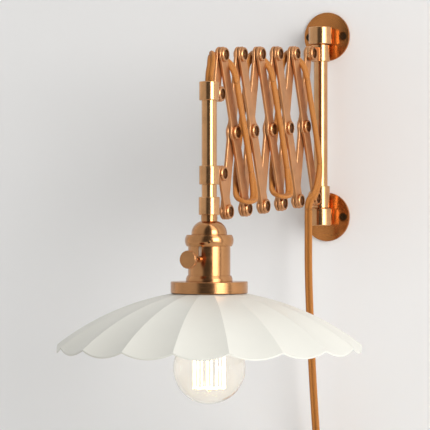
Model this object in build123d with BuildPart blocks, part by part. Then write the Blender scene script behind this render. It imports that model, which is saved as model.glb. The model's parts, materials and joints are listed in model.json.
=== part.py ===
"""Accordion wall lamp: two wall flanges, a swivelling post, a scissor arm and a hanging lamp head.

Frame: the wall is the plane y = 0 and the arm reaches out along -Y in the plane x = 0.  +Z is up.
The origin lies on the wall, midway between the two flanges.  All sizes are in millimetres.
The scissor's front bars lie on the +X side and its back bars on the -X side.
"""

from build123d import *
from math import asin, cos, pi, radians, sin, sqrt, tan
import os

os.makedirs("parts", exist_ok=True)

# ---- driving dimensions: wall flanges and bearings -------------------------------------------
FLANGE_SPACING = 197.0
FLANGE_DIAMETER = 53.0
FLANGE_EDGE = 2.5
FLANGE_RISE = 5.0
STEM_SEAT_DEPTH = 3.0
SCREW_SPACING = 40.0
SCREW_DIAMETER = 4.0
SCREW_NECK_DIAMETER = 4.4
SCREW_NECK_REACH = 0.4
SCREW_HEAD_DIAMETER = 7.6
SCREW_FACE = 3.4
SCREW_GRIP = 25.0
SCREW_POINT = 3.0
CROSS_SLOT_LENGTH = 4.4
CROSS_SLOT_WIDTH = 0.9
CROSS_SLOT_DEPTH = 1.1
POST_STANDOFF = 18.5
BEARING_DIAMETER = 26.0
BEARING_HEIGHT = 18.5
STEM_DIAMETER = 12.0
JOURNAL_DIAMETER = 9.0
JOURNAL_LENGTH = 13.0
JOURNAL_END_GAP = 1.0
POST_DIAMETER = 15.0
POST_END_GAP = 0.3

# ---- driving dimensions: scissor arm ---------------------------------------------------------
BAYS = 5
FOLD_ANGLE = 74.6
DROOP_ANGLE = 3.9
LOWER_PIVOT_RISE = 10.63
LINK_PIVOTS = 40.0
BAR_THICKNESS = 3.0
LAYER_GAP = 0.8
BAR_WIDTH = 14.0
EYE_DIAMETER = 16.0
BOSS_DIAMETER = 20.0
BAR_EDGE_CHAMFER = 0.5
NECK_FILLET = 9.0
PIN_DIAMETER = 5.0
PIN_HEAD_DIAMETER = 14.5
PIN_HEAD_HEIGHT = 2.6
PIN_HEAD_CHAMFER = 0.8
PIN_RECESS_DIAMETER = 10.4
PIN_RECESS_DEPTH = 1.1
PIN_DOME_DIAMETER = 5.6
PIN_DOME_HEIGHT = 0.9
PIN_TAIL_DIAMETER = 11.0
PIN_TAIL_HEIGHT = 1.6
PIN_TAIL_CHAMFER = 0.5
WASHER_DIAMETER = 11.0
FACE_GAP = 0.05
RUN_GAP = 0.05

# ---- driving dimensions: collars -------------------------------------------------------------
COLLAR_DIAMETER = 20.0
COLLAR_HEIGHT = 18.5
SLIDING_COLLAR_HEIGHT = 24.0
COLLAR_CHAMFER = 0.6
PIVOT_REACH = 18.6
PIVOT_DROP = 2.0
COLLAR_TOP_GAP = 0.5
WALL_SLIDE_GAP = 0.64
LAMP_SLIDE_GAP = 0.36
SET_SCREW_DIAMETER = 3.0
SET_SCREW_PROUD = 0.4

# ---- driving dimensions: lamp tube and lamp holder -------------------------------------------
TUBE_WALL = 1.5
COUPLING_GAP = 12.2
COUPLING_DIAMETER = 20.8
COUPLING_HEIGHT = 17.8
TUBE_ENGAGEMENT = 9.0
NECK_DIAMETER = 16.1
NECK_HEIGHT = 6.0
NECK_ENGAGEMENT = 8.0
SHELL_WALL = 1.5
DOME_DIAMETER = 35.0
DOME_HEIGHT = 13.5
DOME_SAGITTA = 3.0
DOME_SKIRT = 3.0
RING_DIAMETER = 48.0
RING_END_DIAMETER = 44.5
RING_HEIGHT = 11.3
RING_TOP_THICKNESS = 2.5
BODY_DIAMETER = 41.6
BODY_HEIGHT = 28.8
BODY_ENGAGEMENT = 6.0
BASE_DIAMETER = 46.0
BASE_TOP_DIAMETER = 43.6
BASE_HEIGHT = 5.8
GALLERY_DIAMETER = 76.0
GALLERY_HEIGHT = 11.5
GALLERY_TOP_THICKNESS = 2.0
INSERT_DIAMETER = 37.8
INSERT_PROUD = 10.5
INSERT_BORE = 28.4
SLOT_WIDTH = 3.6
SLOT_HEIGHT = 9.0
SWITCH_DROP = 12.3
SWITCH_REACH = 47.0
SWITCH_STEM_DIAMETER = 3.6
SWITCH_STEM_INNER_REACH = 12.0
BUSHING_DIAMETER = 6.6
BUSHING_LENGTH = 5.2
KNOB_DIAMETER = 17.6
KNOB_THICKNESS = 4.0
KNOB_NOTCHES = 28
KNOB_NOTCH_DIAMETER = 1.1
KNOB_CHAMFER = 0.5
RING_SCREW_DIAMETER = 2.8
RING_SCREW_AZIMUTH = 26.0

# ---- driving dimensions: shade and bulb ------------------------------------------------------
SHADE_DIAMETER = 300.0
SHADE_SHOULDER_DIAMETER = 76.0
SHADE_DROP = 50.0
SHADE_SAGITTA = 7.4
SHADE_THICKNESS = 1.5
SHADE_PANELS = 18
SHADE_TURN = 13.7
SCOOP_AT_RIM = 6.7
SCOOP_AT_SHOULDER = 2.0
SHADE_TOP_GAP = 0.5
SHADE_BORE_GAP = 2.5
SHADE_RIM_SPARE = 10.0
SHADE_SECTIONS = 6
SHADE_RING_DIAMETER = 53.0
SHADE_RING_HEIGHT = 6.0
GLOBE_DIAMETER = 71.4
GLOBE_DROP = 73.6
GLASS_WALL = 0.9
CAP_DIAMETER = 26.6
CAP_LENGTH = 24.0
CAP_RECESS = 6.0
CAP_TIP_DIAMETER = 10.0
CAP_TIP_HEIGHT = 4.0
CAP_THREADS = 5
CAP_THREAD_DEPTH = 0.8
CONTACT_DIAMETER = 12.0
CONTACT_THICKNESS = 1.5
BULB_NECK_DIAMETER = 26.0
BULB_SHOULDER_RADIUS = 30.0
GLASS_STEM_DIAMETER = 4.0
GLASS_STEM_END_GAP = 12.0
GLASS_FOOT_THICKNESS = 1.5
FILAMENT_COUNT = 10
FILAMENT_SPREAD = 0.434
FILAMENT_WIRE = 1.0
FILAMENT_END_GAP = 16.0
FILAMENT_TOP_GAP = 9.4
FILAMENT_HUB_DIAMETER = 7.0
HOOK_WIRE = 0.7
HOOK_PROUD = 1.0

# ---- driving dimensions: cord and plug -------------------------------------------------------
CORD_DIAMETER = 6.5
CORD_SIDE = 9.6
CORD_FRONT = 8.8
CORD_BACK = -8.8
RUN_SHARE = 0.45
COIL_RADIUS = 56.0
COIL_PITCH = 8.9
COIL_TURNS_PER_LAYER = 2.25
COIL_TOP_Z = -392.0
COIL_REACH = 6.0
COIL_SAMPLES = 1200
TAIL_LENGTH = 46.0
PLUG_WIDTH = 35.0
PLUG_THICKNESS = 14.0
PLUG_HEIGHT = 30.0
PLUG_FILLET = 5.0
PLUG_RELIEF_LENGTH = 24.0
PLUG_RELIEF_DIAMETER = 11.0
PLUG_RELIEF_TIP_DIAMETER = 8.0
PLUG_PIN_DIAMETER = 4.0
PLUG_PIN_LENGTH = 19.0
PLUG_PIN_SPACING = 19.0
PLUG_PIN_SEAT = 8.0

# ---- places worked out from the sizes --------------------------------------------------------
FRONT_LAYER = LAYER_GAP / 2
BACK_LAYER = -LAYER_GAP / 2 - BAR_THICKNESS
OUTER_FACE = LAYER_GAP / 2 + BAR_THICKNESS + FACE_GAP
POST_Y = -POST_STANDOFF
BEARING_FACE_Z = FLANGE_SPACING / 2 - BEARING_HEIGHT / 2
FRONT_BAR_ANGLE = radians(FOLD_ANGLE - DROOP_ANGLE)
BACK_BAR_ANGLE = radians(FOLD_ANGLE + DROOP_ANGLE)
UPPER_COLLAR_TOP_Z = BEARING_FACE_Z - COLLAR_TOP_GAP
UPPER_PIVOT_Z = UPPER_COLLAR_TOP_Z - COLLAR_HEIGHT / 2 - PIVOT_DROP
LOWER_COLLAR_BOTTOM_Z = -BEARING_FACE_Z + POST_END_GAP
LOWER_PIVOT_Z = LOWER_COLLAR_BOTTOM_Z + LOWER_PIVOT_RISE
PAIR_HEIGHT = (UPPER_PIVOT_Z - LOWER_PIVOT_Z) / cos(radians(DROOP_ANGLE))
UPPER_REACH = PIVOT_REACH + PAIR_HEIGHT * sin(radians(DROOP_ANGLE))
BAR_PIVOTS = PAIR_HEIGHT / sin(radians(FOLD_ANGLE))
BAY_LENGTH = BAR_PIVOTS * cos(radians(FOLD_ANGLE))


def pivot(pair, reach, height):
    """One pivot of a pair as (y, z): pair 1 is nearest the lamp and the last pair is at the post."""
    steps = BAYS + 1 - pair
    along = steps * BAY_LENGTH
    droop = radians(DROOP_ANGLE)
    return Vector(POST_Y - reach - along * cos(droop), height - along * sin(droop))


def top_pivot(pair):
    return pivot(pair, UPPER_REACH, UPPER_PIVOT_Z)


def bottom_pivot(pair):
    return pivot(pair, PIVOT_REACH, LOWER_PIVOT_Z)


# Directions towards the lamp as (y, z): a front bar climbs and a back bar falls.
FRONT_WAY = Vector(-cos(FRONT_BAR_ANGLE), sin(FRONT_BAR_ANGLE))
BACK_WAY = Vector(-cos(BACK_BAR_ANGLE), -sin(BACK_BAR_ANGLE))
UPPER_LAMP_PIVOT = top_pivot(1) + BACK_WAY * LINK_PIVOTS
LOWER_LAMP_PIVOT = bottom_pivot(1) + FRONT_WAY * LINK_PIVOTS
LAMP_Y = UPPER_LAMP_PIVOT.X - PIVOT_REACH
TUBE_TOP_Z = UPPER_LAMP_PIVOT.Y + PIVOT_DROP + COLLAR_HEIGHT / 2
LOWER_LAMP_COLLAR_TOP_Z = LOWER_LAMP_PIVOT.Y - PIVOT_DROP + COLLAR_HEIGHT / 2
COUPLING_TOP_Z = LOWER_LAMP_COLLAR_TOP_Z - COLLAR_HEIGHT - COUPLING_GAP
TUBE_END_Z = COUPLING_TOP_Z - TUBE_ENGAGEMENT
COUPLING_END_Z = COUPLING_TOP_Z - COUPLING_HEIGHT
DOME_TOP_Z = COUPLING_END_Z - NECK_HEIGHT
RING_TOP_Z = DOME_TOP_Z - DOME_HEIGHT
BODY_TOP_Z = RING_TOP_Z - RING_HEIGHT
BASE_TOP_Z = BODY_TOP_Z - BODY_HEIGHT
GALLERY_TOP_Z = BASE_TOP_Z - BASE_HEIGHT
GALLERY_END_Z = GALLERY_TOP_Z - GALLERY_HEIGHT
SHADE_Z = GALLERY_END_Z - SHADE_TOP_GAP
INSERT_END_Z = GALLERY_END_Z - INSERT_PROUD
SWITCH_Z = BODY_TOP_Z - SWITCH_DROP
GLOBE_Z = GALLERY_END_Z - GLOBE_DROP
CAP_END_Z = INSERT_END_Z + CAP_RECESS
CAP_TOP_Z = CAP_END_Z + CAP_LENGTH
BORE_TOP_Z = CAP_TOP_Z + CAP_TIP_HEIGHT + CONTACT_THICKNESS + 2 * FACE_GAP
STEM_END_Z = GLOBE_Z - GLOBE_DIAMETER / 2 + GLASS_STEM_END_GAP
FILAMENT_END_Z = GLOBE_Z - GLOBE_DIAMETER / 2 + FILAMENT_END_GAP
FILAMENT_TOP_Z = GLOBE_Z + GLOBE_DIAMETER / 2 - FILAMENT_TOP_GAP
FILAMENT_RADIUS = GLOBE_DIAMETER / 2 * FILAMENT_SPREAD
LAMP_AXIS = Axis((0, LAMP_Y, 0), (0, 0, 1))
LAMP_PROFILE = Plane.XZ.offset(-LAMP_Y)
POST_AXIS = Axis((0, POST_Y, 0), (0, 0, 1))
POST_PROFILE = Plane.XZ.offset(-POST_Y)


def save(name, builder):
    """Labels a finished piece and writes it."""
    builder.part.label = name
    export_step(builder.part, f"parts/{name}.step")


def turn(plane, axis, *points, mode=Mode.ADD):
    """Turns a closed profile of (radius, height) points about an upright axis, in the piece being made."""
    with BuildSketch(plane) as profile:
        with BuildLine():
            Polyline(*points, close=True)
        make_face()
    return revolve(profile.sketch, axis=axis, mode=mode)


def ring_points(outer_diameter, bore_diameter, low_z, high_z):
    """The profile of a plain ring."""
    outer = outer_diameter / 2
    inner = bore_diameter / 2
    return (inner, low_z), (outer, low_z), (outer, high_z), (inner, high_z)


def chamfered_ring_points(outer_diameter, bore_diameter, low_z, high_z, bevel):
    """The profile of a ring with both outer corners bevelled."""
    outer = outer_diameter / 2
    inner = bore_diameter / 2
    return (
        (inner, low_z),
        (outer - bevel, low_z),
        (outer, low_z + bevel),
        (outer, high_z - bevel),
        (outer - bevel, high_z),
        (inner, high_z),
    )


# ---- wall flanges, bearings and screws -------------------------------------------------------
def make_flange(name, height):
    """A domed disc on the wall, with a blind seat for the bearing's stem and two countersunk holes."""
    rim = (FLANGE_DIAMETER / 2, FLANGE_EDGE)
    crown = (0, FLANGE_RISE)
    flange_plane = Plane(origin=(0, 0, height), x_dir=(1, 0, 0), z_dir=(0, 0, -1))
    with BuildPart() as flange:
        with BuildSketch(flange_plane):
            with BuildLine():
                Polyline(crown, (0, 0), (rim[0], 0), rim)
                SagittaArc(rim, crown, -(FLANGE_RISE - FLANGE_EDGE) / 4)
            make_face()
        revolve(axis=Axis((0, 0, height), (0, 1, 0)))
        with Locations(Plane((0, -FLANGE_RISE, height), x_dir=(1, 0, 0), z_dir=(0, -1, 0))):
            Hole(radius=STEM_DIAMETER / 2 + RUN_GAP, depth=STEM_SEAT_DEPTH)
        with Locations(Plane((0, -SCREW_FACE, height), x_dir=(1, 0, 0), z_dir=(0, -1, 0))):
            with GridLocations(SCREW_SPACING, 1, 2, 1):
                CounterSinkHole(
                    radius=SCREW_NECK_DIAMETER / 2 + RUN_GAP,
                    counter_sink_radius=SCREW_HEAD_DIAMETER / 2 + RUN_GAP,
                    counter_sink_angle=90,
                )
    save(name, flange)


def make_bearing(name, height, opening):
    """A turned knuckle on a short stem.  Its blind bore opens towards the post: -1 down, +1 up."""
    low_z = height - BEARING_HEIGHT / 2
    high_z = height + BEARING_HEIGHT / 2
    stem_end_y = -FLANGE_RISE + STEM_SEAT_DEPTH - FACE_GAP
    bore_z = height + opening * BEARING_HEIGHT / 2
    bore_depth = JOURNAL_LENGTH + JOURNAL_END_GAP
    bore_radius = JOURNAL_DIAMETER / 2 + RUN_GAP
    with BuildPart() as bearing:
        turn(
            POST_PROFILE,
            POST_AXIS,
            *chamfered_ring_points(BEARING_DIAMETER, 0, low_z, high_z, COLLAR_CHAMFER),
        )
        with BuildSketch(Plane((0, stem_end_y, height), x_dir=(1, 0, 0), z_dir=(0, -1, 0))):
            Circle(STEM_DIAMETER / 2)
        extrude(amount=POST_STANDOFF + stem_end_y)
        with BuildSketch(Plane((0, POST_Y, bore_z), z_dir=(0, 0, -opening))):
            Circle(bore_radius)
        extrude(amount=bore_depth, mode=Mode.SUBTRACT)
    save(name, bearing)


def make_wall_screws():
    """Four countersunk cross-head screws that stand out behind the flanges."""
    shank = SCREW_DIAMETER / 2
    neck = SCREW_NECK_DIAMETER / 2
    head = SCREW_HEAD_DIAMETER / 2
    with BuildPart(mode=Mode.PRIVATE) as screw:
        with BuildSketch(Plane.XY):
            with BuildLine():
                Polyline(
                    (0, -SCREW_FACE),
                    (head, -SCREW_FACE),
                    (neck, -SCREW_FACE + head - neck),
                    (neck, SCREW_NECK_REACH),
                    (shank, SCREW_NECK_REACH),
                    (shank, SCREW_GRIP - SCREW_POINT),
                    (0, SCREW_GRIP),
                    close=True,
                )
            make_face()
        revolve(axis=Axis.Y)
        with BuildSketch(Plane((0, -SCREW_FACE, 0), x_dir=(1, 0, 0), z_dir=(0, -1, 0))):
            Rectangle(CROSS_SLOT_LENGTH, CROSS_SLOT_WIDTH)
            Rectangle(CROSS_SLOT_WIDTH, CROSS_SLOT_LENGTH)
        extrude(amount=-CROSS_SLOT_DEPTH, mode=Mode.SUBTRACT)
    with BuildPart() as wall_screws:
        for side in (-1, 1):
            for level in (-1, 1):
                with Locations((side * SCREW_SPACING / 2, 0, level * FLANGE_SPACING / 2)):
                    add(screw.part)
    save("wall_screws", wall_screws)


make_flange("upper_flange", FLANGE_SPACING / 2)
make_flange("lower_flange", -FLANGE_SPACING / 2)
make_bearing("upper_bearing", FLANGE_SPACING / 2, -1)
make_bearing("lower_bearing", -FLANGE_SPACING / 2, 1)
make_wall_screws()

# ---- post ------------------------------------------------------------------------------------
with BuildPart() as swivel_rod:
    post_end_z = BEARING_FACE_Z - POST_END_GAP
    journal_end_z = post_end_z + JOURNAL_LENGTH
    turn(POST_PROFILE, POST_AXIS, *ring_points(POST_DIAMETER, 0, -post_end_z, post_end_z))
    turn(POST_PROFILE, POST_AXIS, *ring_points(JOURNAL_DIAMETER, 0, -journal_end_z, journal_end_z))
save("swivel_rod", swivel_rod)


# ---- collars and their rivets ----------------------------------------------------------------
def make_collar(name, axis_y, low_z, high_z, bore_diameter, ear_pivot, ear_layer, screw_diameter=0.0):
    """A turned collar with a flat ear that reaches from its barrel to a pivot at (y, z)."""
    plane = Plane.XZ.offset(-axis_y)
    axis = Axis((0, axis_y, 0), (0, 0, 1))
    reach = ear_pivot.X - axis_y
    with BuildPart() as collar:
        turn(plane, axis, *chamfered_ring_points(COLLAR_DIAMETER, 0, low_z, high_z, COLLAR_CHAMFER))
        with BuildSketch(Plane.YZ.offset(ear_layer)):
            with Locations((ear_pivot.X, ear_pivot.Y)):
                Circle(EYE_DIAMETER / 2)
            with Locations((axis_y + reach / 2, ear_pivot.Y)):
                Rectangle(abs(reach), EYE_DIAMETER - 2 * BAR_EDGE_CHAMFER)
            with Locations((ear_pivot.X, ear_pivot.Y)):
                Circle(PIN_DIAMETER / 2 + RUN_GAP, mode=Mode.SUBTRACT)
        extrude(amount=BAR_THICKNESS)
        bore = ring_points(bore_diameter, 0, low_z - EYE_DIAMETER, high_z + EYE_DIAMETER)
        turn(plane, axis, *bore, mode=Mode.SUBTRACT)
        if screw_diameter:
            with BuildSketch(Plane((0, axis_y, (low_z + high_z) / 2), z_dir=(-1, 0, 0))):
                Circle(screw_diameter / 2 + RUN_GAP)
            extrude(amount=COLLAR_DIAMETER, mode=Mode.SUBTRACT)
    save(name, collar)


def head_profile():
    """Half of a rivet's section as (x, radius): a recessed head in front and a bucked tail behind."""
    head_radius = PIN_HEAD_DIAMETER / 2
    head_face = OUTER_FACE + PIN_HEAD_HEIGHT
    recess_floor = head_face - PIN_RECESS_DEPTH
    tail_radius = PIN_TAIL_DIAMETER / 2
    tail_face = -OUTER_FACE - PIN_TAIL_HEIGHT
    return (
        (tail_face, 0),
        (tail_face, tail_radius - PIN_TAIL_CHAMFER),
        (tail_face + PIN_TAIL_CHAMFER, tail_radius),
        (-OUTER_FACE, tail_radius),
        (-OUTER_FACE, PIN_DIAMETER / 2),
        (OUTER_FACE, PIN_DIAMETER / 2),
        (OUTER_FACE, head_radius),
        (head_face - PIN_HEAD_CHAMFER, head_radius),
        (head_face, head_radius - PIN_HEAD_CHAMFER),
        (head_face, PIN_RECESS_DIAMETER / 2),
        (recess_floor, PIN_RECESS_DIAMETER / 2),
        (recess_floor, PIN_DOME_DIAMETER / 2),
        (recess_floor + PIN_DOME_HEIGHT, PIN_DOME_DIAMETER / 4),
        (recess_floor + PIN_DOME_HEIGHT, 0),
    )


def make_rivets(name, pivots):
    """Rivets across the arm, each with the washer that keeps its two layers apart."""
    washer_face = LAYER_GAP / 2 - FACE_GAP
    with BuildPart() as rivets:
        for place in pivots:
            section = Plane((0, place.X, place.Y), x_dir=(1, 0, 0), z_dir=(0, 0, -1))
            centre = Axis((0, place.X, place.Y), (1, 0, 0))
            turn(section, centre, *((x, radius) for x, radius in head_profile()))
            turn(
                section,
                centre,
                (-washer_face, PIN_DIAMETER / 2 + RUN_GAP),
                (-washer_face, WASHER_DIAMETER / 2),
                (washer_face, WASHER_DIAMETER / 2),
                (washer_face, PIN_DIAMETER / 2 + RUN_GAP),
            )
    save(name, rivets)


def make_set_screws(name, places):
    """Grub screws from the -X side: each place is (axis y, z, radius it bears on, radius of the barrel)."""
    with BuildPart() as screws:
        for axis_y, height, inner_radius, outer_radius in places:
            with BuildSketch(Plane((-inner_radius, axis_y, height), z_dir=(-1, 0, 0))):
                Circle(SET_SCREW_DIAMETER / 2)
            extrude(amount=outer_radius - inner_radius + SET_SCREW_PROUD)
    save(name, screws)


make_collar(
    "upper_wall_collar",
    POST_Y,
    UPPER_COLLAR_TOP_Z - COLLAR_HEIGHT,
    UPPER_COLLAR_TOP_Z,
    POST_DIAMETER + 2 * RUN_GAP,
    top_pivot(BAYS + 1),
    FRONT_LAYER,
    SET_SCREW_DIAMETER,
)
make_rivets("upper_wall_pivot", [top_pivot(BAYS + 1)])
post_screw_z = UPPER_COLLAR_TOP_Z - COLLAR_HEIGHT / 2
make_set_screws(
    "post_set_screw",
    [(POST_Y, post_screw_z, POST_DIAMETER / 2 + FACE_GAP, COLLAR_DIAMETER / 2)],
)
make_collar(
    "lower_wall_collar",
    POST_Y,
    LOWER_COLLAR_BOTTOM_Z,
    LOWER_COLLAR_BOTTOM_Z + SLIDING_COLLAR_HEIGHT,
    POST_DIAMETER + 2 * WALL_SLIDE_GAP,
    bottom_pivot(BAYS + 1),
    BACK_LAYER,
)


# ---- scissor bars ----------------------------------------------------------------------------
def make_bar(name, start, way, length, layer, has_boss):
    """A flat bar with an eye at each end, and a round boss in the middle of a full bar."""
    bar_plane = Plane((layer, start.X, start.Y), x_dir=(0, way.X, way.Y), z_dir=(1, 0, 0))
    middle = length / 2
    with BuildPart() as bar:
        with BuildSketch(bar_plane) as outline:
            with Locations((0, 0), (length, 0)):
                Circle(EYE_DIAMETER / 2)
            with Locations((middle, 0)):
                Rectangle(length, BAR_WIDTH)
                if has_boss:
                    Circle(BOSS_DIAMETER / 2)
            sides = outline.vertices().group_by(Axis.Y)
            fillet(sides[0] + sides[-1], NECK_FILLET)
        extrude(amount=BAR_THICKNESS)
        chamfer(bar.faces().filter_by(Axis.X).edges(), BAR_EDGE_CHAMFER)
        with BuildSketch(bar_plane):
            with Locations((0, 0), (length, 0)):
                Circle(PIN_DIAMETER / 2 + RUN_GAP)
            if has_boss:
                with Locations((middle, 0)):
                    Circle(PIN_DIAMETER / 2 + RUN_GAP)
        extrude(amount=BAR_THICKNESS, mode=Mode.SUBTRACT)
    save(name, bar)


for pair in range(1, BAYS + 1):
    make_bar(f"front_bar_{pair}", bottom_pivot(pair + 1), FRONT_WAY, BAR_PIVOTS, FRONT_LAYER, True)
    make_bar(f"back_bar_{pair}", top_pivot(pair + 1), BACK_WAY, BAR_PIVOTS, BACK_LAYER, True)
    centre_pivot = (top_pivot(pair) + bottom_pivot(pair + 1)) / 2
    make_rivets(f"front_bar_{pair}_pivots", [top_pivot(pair), centre_pivot, bottom_pivot(pair + 1)])

make_bar("upper_end_link", top_pivot(1), BACK_WAY, LINK_PIVOTS, BACK_LAYER, False)
make_bar("lower_end_link", bottom_pivot(1), FRONT_WAY, LINK_PIVOTS, FRONT_LAYER, False)
make_rivets("lower_link_pivots", [bottom_pivot(1), LOWER_LAMP_PIVOT])

# ---- lamp tube and its collars ---------------------------------------------------------------
with BuildPart() as lamp_tube:
    tube_bore = POST_DIAMETER - 2 * TUBE_WALL
    turn(LAMP_PROFILE, LAMP_AXIS, *ring_points(POST_DIAMETER, tube_bore, TUBE_END_Z, TUBE_TOP_Z))
save("lamp_tube", lamp_tube)

make_collar(
    "upper_lamp_collar",
    LAMP_Y,
    TUBE_TOP_Z - COLLAR_HEIGHT,
    TUBE_TOP_Z,
    POST_DIAMETER + 2 * RUN_GAP,
    UPPER_LAMP_PIVOT,
    FRONT_LAYER,
    SET_SCREW_DIAMETER,
)
make_rivets("upper_lamp_pivot", [UPPER_LAMP_PIVOT])
make_collar(
    "lower_lamp_collar",
    LAMP_Y,
    LOWER_LAMP_COLLAR_TOP_Z - COLLAR_HEIGHT,
    LOWER_LAMP_COLLAR_TOP_Z,
    POST_DIAMETER + 2 * LAMP_SLIDE_GAP,
    LOWER_LAMP_PIVOT,
    BACK_LAYER,
)
lamp_collar_screw_z = TUBE_TOP_Z - COLLAR_HEIGHT / 2
coupling_screw_z = COUPLING_TOP_Z - TUBE_ENGAGEMENT / 2
make_set_screws(
    "lamp_set_screws",
    [
        (LAMP_Y, lamp_collar_screw_z, POST_DIAMETER / 2 + FACE_GAP, COLLAR_DIAMETER / 2),
        (LAMP_Y, coupling_screw_z, POST_DIAMETER / 2 + FACE_GAP, COUPLING_DIAMETER / 2),
    ],
)

with BuildPart() as coupling_collar:
    turn(
        LAMP_PROFILE,
        LAMP_AXIS,
        *chamfered_ring_points(
            COUPLING_DIAMETER,
            POST_DIAMETER + 2 * RUN_GAP,
            COUPLING_END_Z,
            COUPLING_TOP_Z,
            COLLAR_CHAMFER,
        ),
    )
    turn(
        LAMP_PROFILE,
        LAMP_AXIS,
        *ring_points(NECK_DIAMETER + 2 * RUN_GAP, 0, COUPLING_END_Z, TUBE_END_Z - FACE_GAP),
        mode=Mode.SUBTRACT,
    )
    with BuildSketch(Plane((0, LAMP_Y, coupling_screw_z), z_dir=(-1, 0, 0))):
        Circle(SET_SCREW_DIAMETER / 2 + RUN_GAP)
    extrude(amount=COUPLING_DIAMETER, mode=Mode.SUBTRACT)
save("coupling_collar", coupling_collar)

# ---- lamp holder -----------------------------------------------------------------------------
SKIRT_DIAMETER = DOME_DIAMETER - 2 * SHELL_WALL
with BuildPart() as socket_dome:
    neck_radius = NECK_DIAMETER / 2
    neck_top_z = COUPLING_END_Z + NECK_ENGAGEMENT
    dome_radius = DOME_DIAMETER / 2
    dome_end_z = RING_TOP_Z + FACE_GAP
    skirt_end_z = RING_TOP_Z - DOME_SKIRT
    with BuildSketch(LAMP_PROFILE):
        with BuildLine():
            Polyline((neck_radius, neck_top_z), (neck_radius, DOME_TOP_Z))
            outer_arc = SagittaArc((neck_radius, DOME_TOP_Z), (dome_radius, dome_end_z), DOME_SAGITTA)
            skirt = Polyline(
                outer_arc @ 1,
                (SKIRT_DIAMETER / 2, dome_end_z),
                (SKIRT_DIAMETER / 2, skirt_end_z),
                (SKIRT_DIAMETER / 2 - SHELL_WALL, skirt_end_z),
                (SKIRT_DIAMETER / 2 - SHELL_WALL, dome_end_z),
            )
            inner_arc = SagittaArc(
                skirt @ 1,
                (neck_radius - SHELL_WALL, DOME_TOP_Z - SHELL_WALL),
                -DOME_SAGITTA + SHELL_WALL / 2,
            )
            Polyline(inner_arc @ 1, (neck_radius - SHELL_WALL, neck_top_z), (neck_radius, neck_top_z))
        make_face()
    revolve(axis=LAMP_AXIS)
save("socket_dome", socket_dome)


def radial_plane(azimuth, height):
    """A plane through the lamp's axis whose normal points outward, azimuth degrees from -Y towards +X."""
    outward = (sin(radians(azimuth)), -cos(radians(azimuth)), 0)
    return Plane((0, LAMP_Y, height), x_dir=(cos(radians(azimuth)), sin(radians(azimuth)), 0), z_dir=outward)


RING_SCREW_Z = RING_TOP_Z - RING_HEIGHT / 2 - RING_TOP_THICKNESS / 2
BODY_BORE = BODY_DIAMETER - 2 * SHELL_WALL
with BuildPart() as socket_ring:
    ring_end_radius = RING_END_DIAMETER / 2
    ring_bore_radius = BODY_DIAMETER / 2 + RUN_GAP
    skirt_hole_radius = SKIRT_DIAMETER / 2 + RUN_GAP
    ring_floor_z = RING_TOP_Z - RING_TOP_THICKNESS
    with BuildSketch(LAMP_PROFILE):
        with BuildLine():
            barrel = ThreePointArc(
                (ring_end_radius, BODY_TOP_Z),
                (RING_DIAMETER / 2, (BODY_TOP_Z + RING_TOP_Z) / 2),
                (ring_end_radius, RING_TOP_Z),
            )
            Polyline(
                barrel @ 1,
                (skirt_hole_radius, RING_TOP_Z),
                (skirt_hole_radius, ring_floor_z),
                (ring_bore_radius, ring_floor_z),
                (ring_bore_radius, BODY_TOP_Z),
                barrel @ 0,
            )
        make_face()
    revolve(axis=LAMP_AXIS)
    with BuildSketch(radial_plane(RING_SCREW_AZIMUTH, RING_SCREW_Z)):
        Circle(RING_SCREW_DIAMETER / 2)
    extrude(amount=RING_DIAMETER / 2 + SET_SCREW_PROUD)
    turn(
        LAMP_PROFILE,
        LAMP_AXIS,
        *ring_points(2 * ring_bore_radius, 0, BODY_TOP_Z, ring_floor_z),
        mode=Mode.SUBTRACT,
    )
save("socket_ring", socket_ring)

with BuildPart() as socket_body:
    body_high_z = BODY_TOP_Z + BODY_ENGAGEMENT
    turn(LAMP_PROFILE, LAMP_AXIS, *ring_points(BODY_DIAMETER, BODY_BORE, BASE_TOP_Z + FACE_GAP, body_high_z))
    slot_middle_z = (body_high_z + BODY_TOP_Z - SLOT_HEIGHT) / 2
    with BuildSketch(radial_plane(0, slot_middle_z)):
        Rectangle(SLOT_WIDTH, body_high_z - BODY_TOP_Z + SLOT_HEIGHT)
    extrude(amount=BODY_DIAMETER, mode=Mode.SUBTRACT)
    with BuildSketch(radial_plane(0, SWITCH_Z)):
        Circle(BUSHING_DIAMETER / 2 - SHELL_WALL / 2 + RUN_GAP)
    extrude(amount=BODY_DIAMETER, mode=Mode.SUBTRACT)
save("socket_body", socket_body)

with BuildPart() as socket_base_ring:
    insert_bore = INSERT_DIAMETER + 2 * RUN_GAP
    with BuildSketch(LAMP_PROFILE):
        with BuildLine():
            Polyline(
                (insert_bore / 2, GALLERY_TOP_Z + FACE_GAP),
                (BASE_DIAMETER / 2, GALLERY_TOP_Z + FACE_GAP),
                (BASE_DIAMETER / 2, GALLERY_TOP_Z + BASE_HEIGHT / 2),
                (BASE_TOP_DIAMETER / 2, BASE_TOP_Z),
                (insert_bore / 2, BASE_TOP_Z),
                close=True,
            )
        make_face()
    revolve(axis=LAMP_AXIS)
save("socket_base_ring", socket_base_ring)

with BuildPart() as shade_gallery:
    gallery_bore = GALLERY_DIAMETER - 2 * SHELL_WALL
    gallery_floor_z = GALLERY_TOP_Z - GALLERY_TOP_THICKNESS
    turn(
        LAMP_PROFILE,
        LAMP_AXIS,
        *chamfered_ring_points(
            GALLERY_DIAMETER, INSERT_DIAMETER + 2 * RUN_GAP, GALLERY_END_Z, GALLERY_TOP_Z, COLLAR_CHAMFER
        ),
    )
    turn(
        LAMP_PROFILE,
        LAMP_AXIS,
        *ring_points(gallery_bore, 0, GALLERY_END_Z, gallery_floor_z),
        mode=Mode.SUBTRACT,
    )
save("shade_gallery", shade_gallery)

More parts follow.
